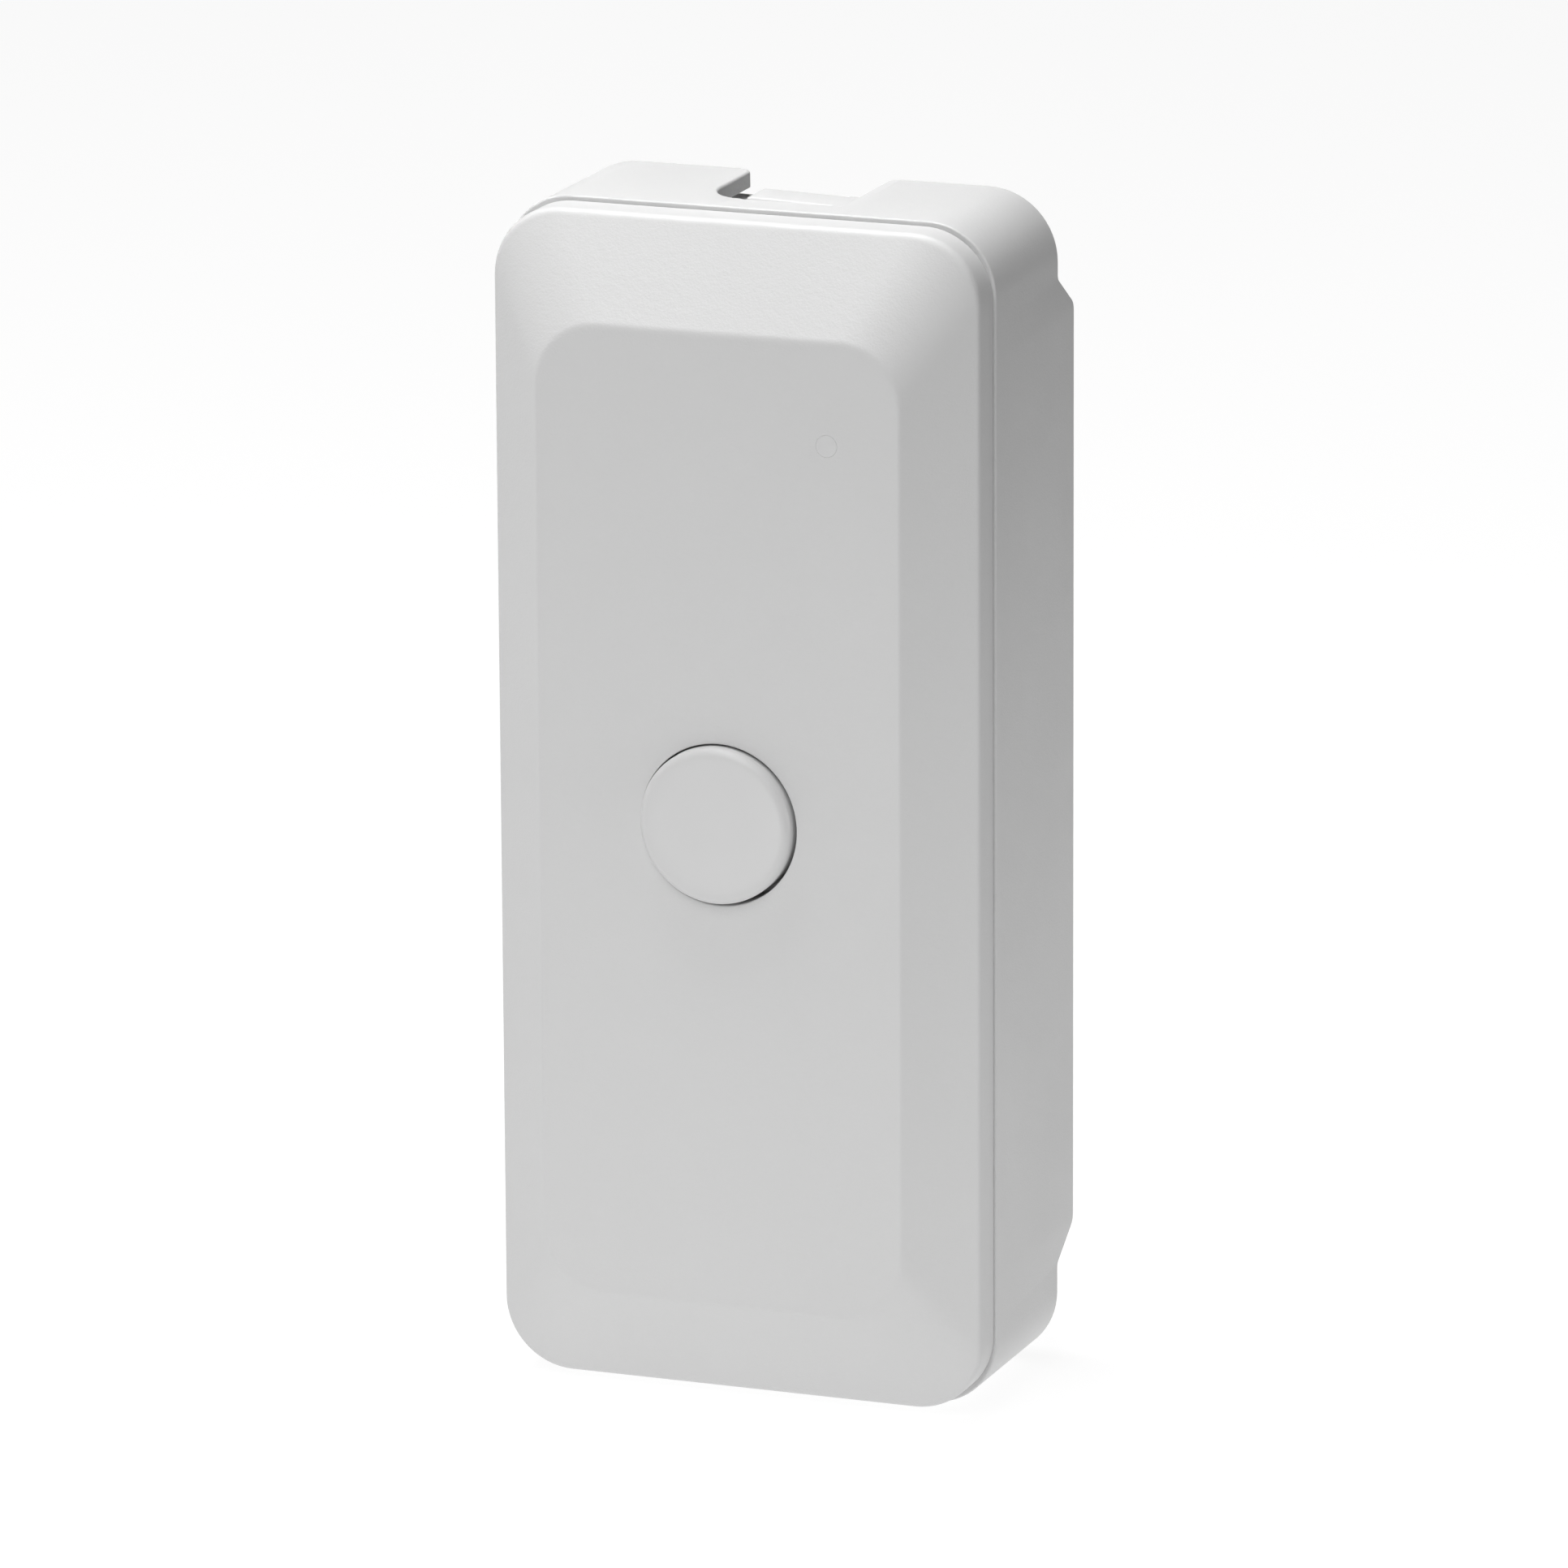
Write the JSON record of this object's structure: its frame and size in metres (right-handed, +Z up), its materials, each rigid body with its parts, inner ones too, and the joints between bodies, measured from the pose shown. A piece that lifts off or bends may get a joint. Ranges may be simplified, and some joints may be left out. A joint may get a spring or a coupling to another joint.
{
  "type": "wireless doorbell push button",
  "caption": "Wall-mounted wireless doorbell push with a bevelled lift-off cover, round push button, status light pipe, release tab and stepped rear housing.",
  "frame": {"origin": "centre of the flat rear pad, the face that lies on the wall, halfway across the width and halfway up the height", "axes": "+Z up along the height, +X to the right as a visitor sees it, +Y into the wall; the button faces -Y"},
  "size_m": [0.0342, 0.022, 0.0802],
  "materials": {
    "shell_plastic": "fine matt moulded texture, white",
    "button_plastic": "smoother satin moulding, white",
    "pipe_plastic": "milky translucent rod, flush and satin at the front face",
    "black_plastic": "moulded black, slightly grained",
    "cradle_plastic": "dark grey moulded nylon, fine matt",
    "board_mask": "green solder mask over tracks, semi-gloss",
    "tin_plate": "tin-plated sheet, satin with fine rolling lines",
    "copper_wire": "enamelled copper wire, bright",
    "steel": "nickel-plated steel, satin",
    "can_aluminium": "drawn aluminium can, satin",
    "cell_wrap": "thin shrink wrap, blue, semi-gloss, plain",
    "chip_resin": "moulded epoxy, matt black",
    "ceramic": "fired ceramic, tan",
    "lens_resin": "cast resin lens, clear to milky"
  },
  "bodies": {
    "housing": {"rear_housing": "shell_plastic", "circuit_board": "board_mask", "board_screw_1": "steel", "board_screw_2": "steel", "switch_base": "black_plastic", "switch_plate": "tin_plate", "switch_leg_1": "tin_plate", "switch_leg_2": "tin_plate", "switch_leg_3": "tin_plate", "switch_leg_4": "tin_plate", "status_led": "ceramic", "led_lens": "lens_resin", "microcontroller": "chip_resin", "radio_chip": "chip_resin", "crystal_can": "tin_plate", "bulk_capacitor": "can_aluminium", "antenna_coil": "copper_wire", "antenna_pad_1": "tin_plate", "antenna_pad_2": "tin_plate", "ceramic_capacitor_1": "ceramic", "ceramic_capacitor_2": "ceramic", "ceramic_capacitor_3": "ceramic", "chip_resistor_1": "chip_resin", "chip_resistor_2": "chip_resin", "chip_resistor_3": "chip_resin", "battery_cradle": "cradle_plastic", "cell_can": "steel", "cell_wrap": "cell_wrap", "positive_contact": "tin_plate", "negative_contact": "tin_plate", "negative_spring": "steel"},
    "cover": {"front_cover": "shell_plastic", "light_pipe": "pipe_plastic"},
    "button": {"push_button": "button_plastic"},
    "plunger": {"switch_plunger": "black_plastic"},
    "tab": {"release_tab": "shell_plastic"}
  },
  "joints": [
    {"name": "cover_removal", "type": "slide", "parent": "housing", "child": "cover", "axis": [0, -1, 0], "range_m": [0, 0.03]},
    {"name": "button_press", "type": "slide", "parent": "cover", "child": "button", "axis": [0, 1, 0], "range_m": [0, 0.0006], "stiffness_N_per_m": 2500, "springref_m": -0.0001},
    {"name": "plunger_travel", "type": "slide", "parent": "housing", "child": "plunger", "axis": [0, 1, 0], "range_m": [0, 0.0003]},
    {"name": "tab_flex", "type": "hinge", "parent": "housing", "child": "tab", "pos_m": [0.0055, -0.0109, 0.0389], "axis": [0, -1, 0], "range_deg": [0, 3.4], "stiffness_Nm_per_rad": 0.5}
  ],
  "couplings": [
    {"joint": "plunger_travel", "follows": "button_press", "ratio": 0.45}
  ]
}
